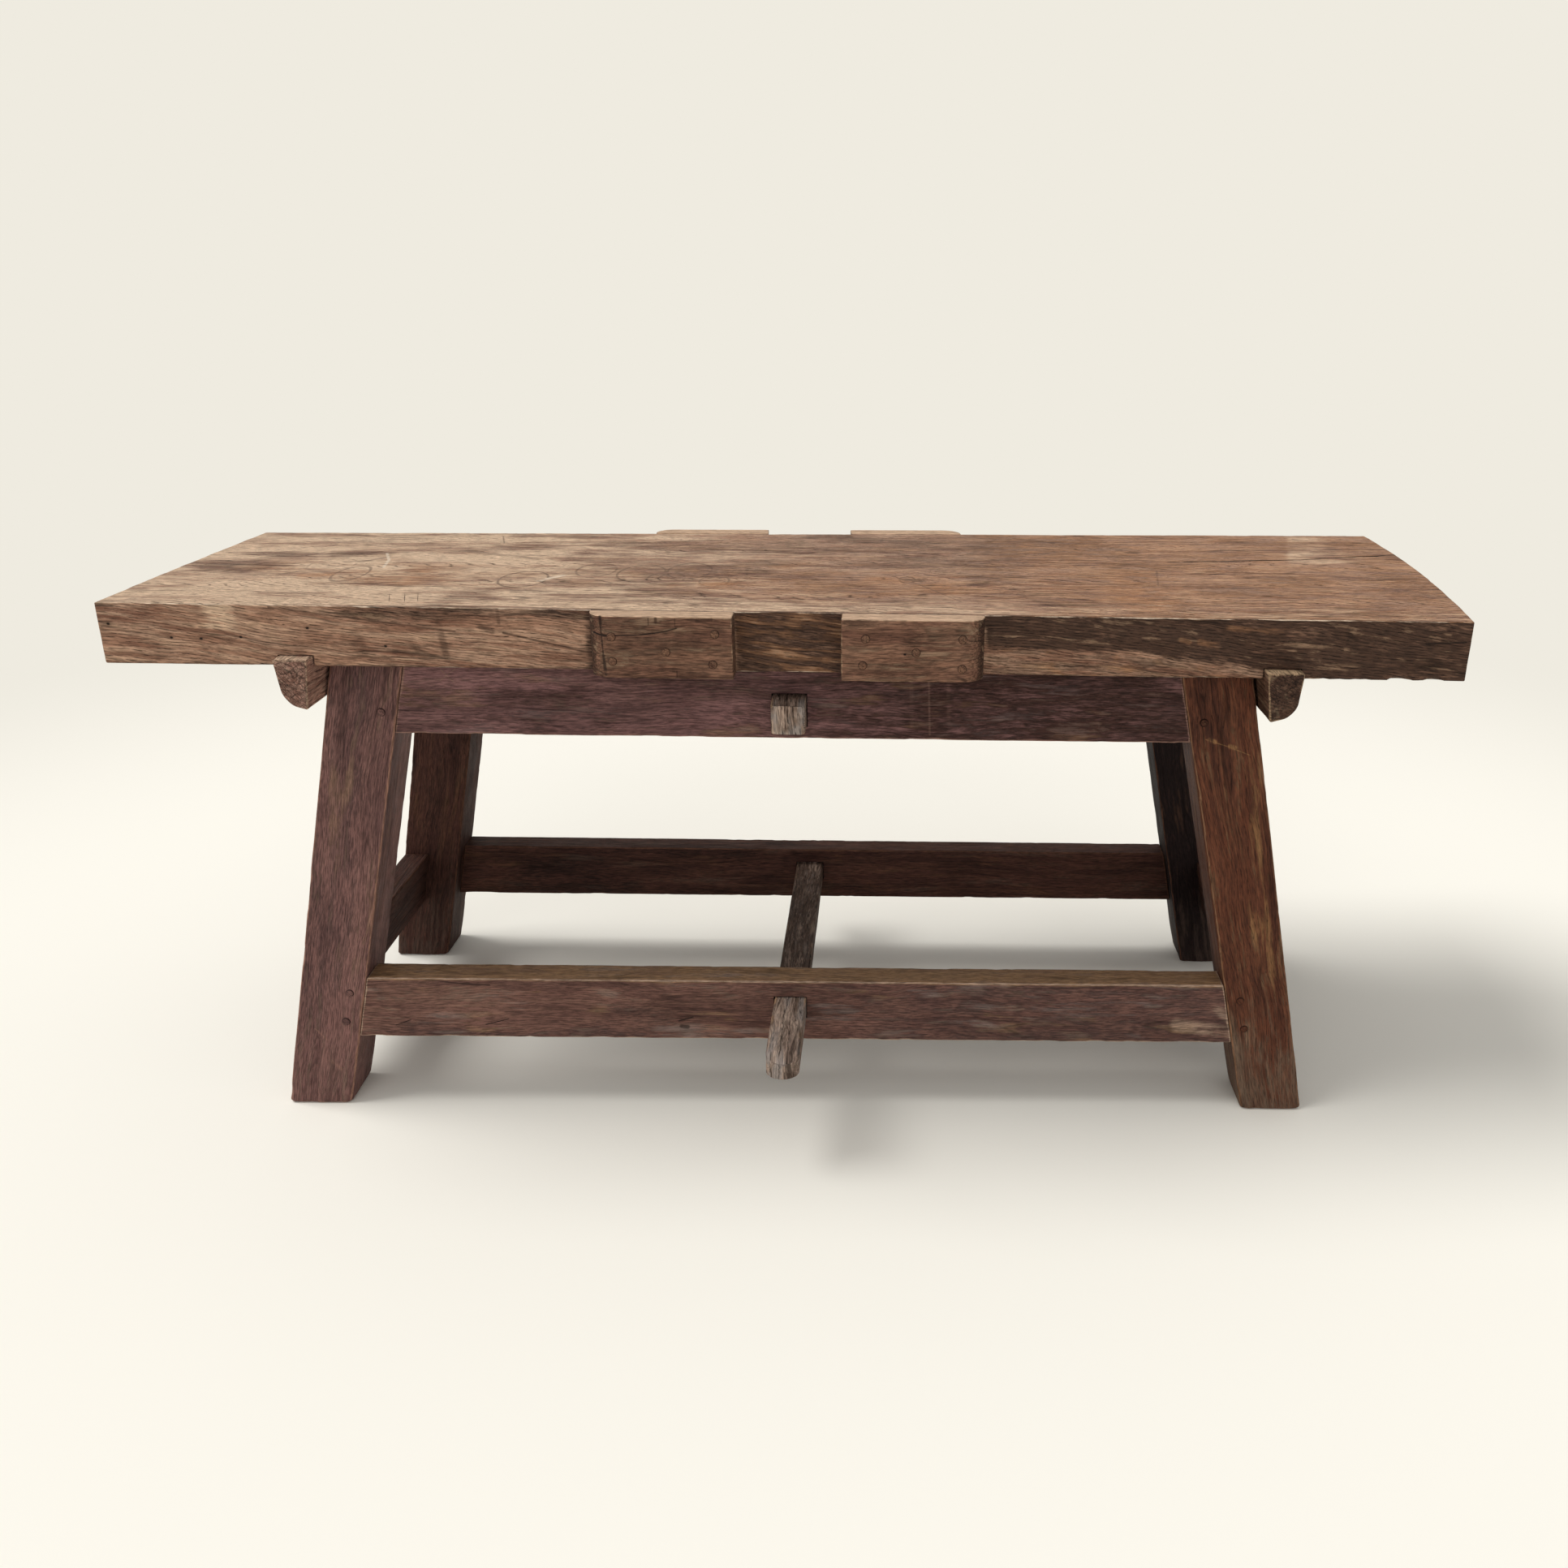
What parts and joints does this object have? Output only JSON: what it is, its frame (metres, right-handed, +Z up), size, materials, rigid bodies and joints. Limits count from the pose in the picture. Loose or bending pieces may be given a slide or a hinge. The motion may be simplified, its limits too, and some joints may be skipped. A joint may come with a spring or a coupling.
{
  "type": "work table",
  "caption": "Antique oak work table: a thick plank with cheek blocks on its edges, loose on a pegged frame of splayed legs, with loose cross bars through slotted rails.",
  "frame": {"origin": "on the floor, at the middle of the table's outer limits left to right and front to back", "axes": "+Z up, +X to the right along the plank seen from the front, +Y to the back"},
  "size_m": [1.942, 0.8162, 0.8],
  "materials": {
    "plank_oak": "worn, dark patina",
    "block_oak": "worn, dark patina",
    "peg_oak": "worn, dark patina",
    "batten_oak": "dull, rough sawn",
    "leg_oak": "worn, dark patina",
    "rail_oak": "worn, dark patina",
    "bar_oak": "weathered, dull"
  },
  "bodies": {
    "frame": {"front_left_leg": "leg_oak", "front_right_leg": "leg_oak", "rear_left_leg": "leg_oak", "rear_right_leg": "leg_oak", "front_left_leg_pegs": "peg_oak", "front_right_leg_pegs": "peg_oak", "rear_left_leg_pegs": "peg_oak", "rear_right_leg_pegs": "peg_oak", "front_apron": "rail_oak", "rear_apron": "rail_oak", "front_stretcher": "rail_oak", "rear_stretcher": "rail_oak", "left_end_rail": "rail_oak", "right_end_rail": "rail_oak", "left_end_stretcher": "rail_oak", "right_end_stretcher": "rail_oak"},
    "top": {"top_slab": "plank_oak", "front_left_block": "block_oak", "front_right_block": "block_oak", "rear_left_block": "block_oak", "rear_right_block": "block_oak", "front_left_block_pegs": "peg_oak", "front_right_block_pegs": "peg_oak", "rear_left_block_pegs": "peg_oak", "rear_right_block_pegs": "peg_oak", "left_batten": "batten_oak", "right_batten": "batten_oak"},
    "upper_bar": {"upper_cross_bar": "bar_oak"},
    "lower_bar": {"lower_cross_bar": "bar_oak"}
  },
  "joints": [
    {"name": "top_lift", "type": "slide", "parent": "frame", "child": "top", "axis": [0, 0, 1], "range_m": [0, 0.12]},
    {"name": "upper_bar_slide", "type": "slide", "parent": "frame", "child": "upper_bar", "axis": [0, 1, 0], "range_m": [-0.035, 0.035]},
    {"name": "lower_bar_slide", "type": "slide", "parent": "frame", "child": "lower_bar", "axis": [0, 1, 0], "range_m": [-0.07, 0.16]}
  ]
}
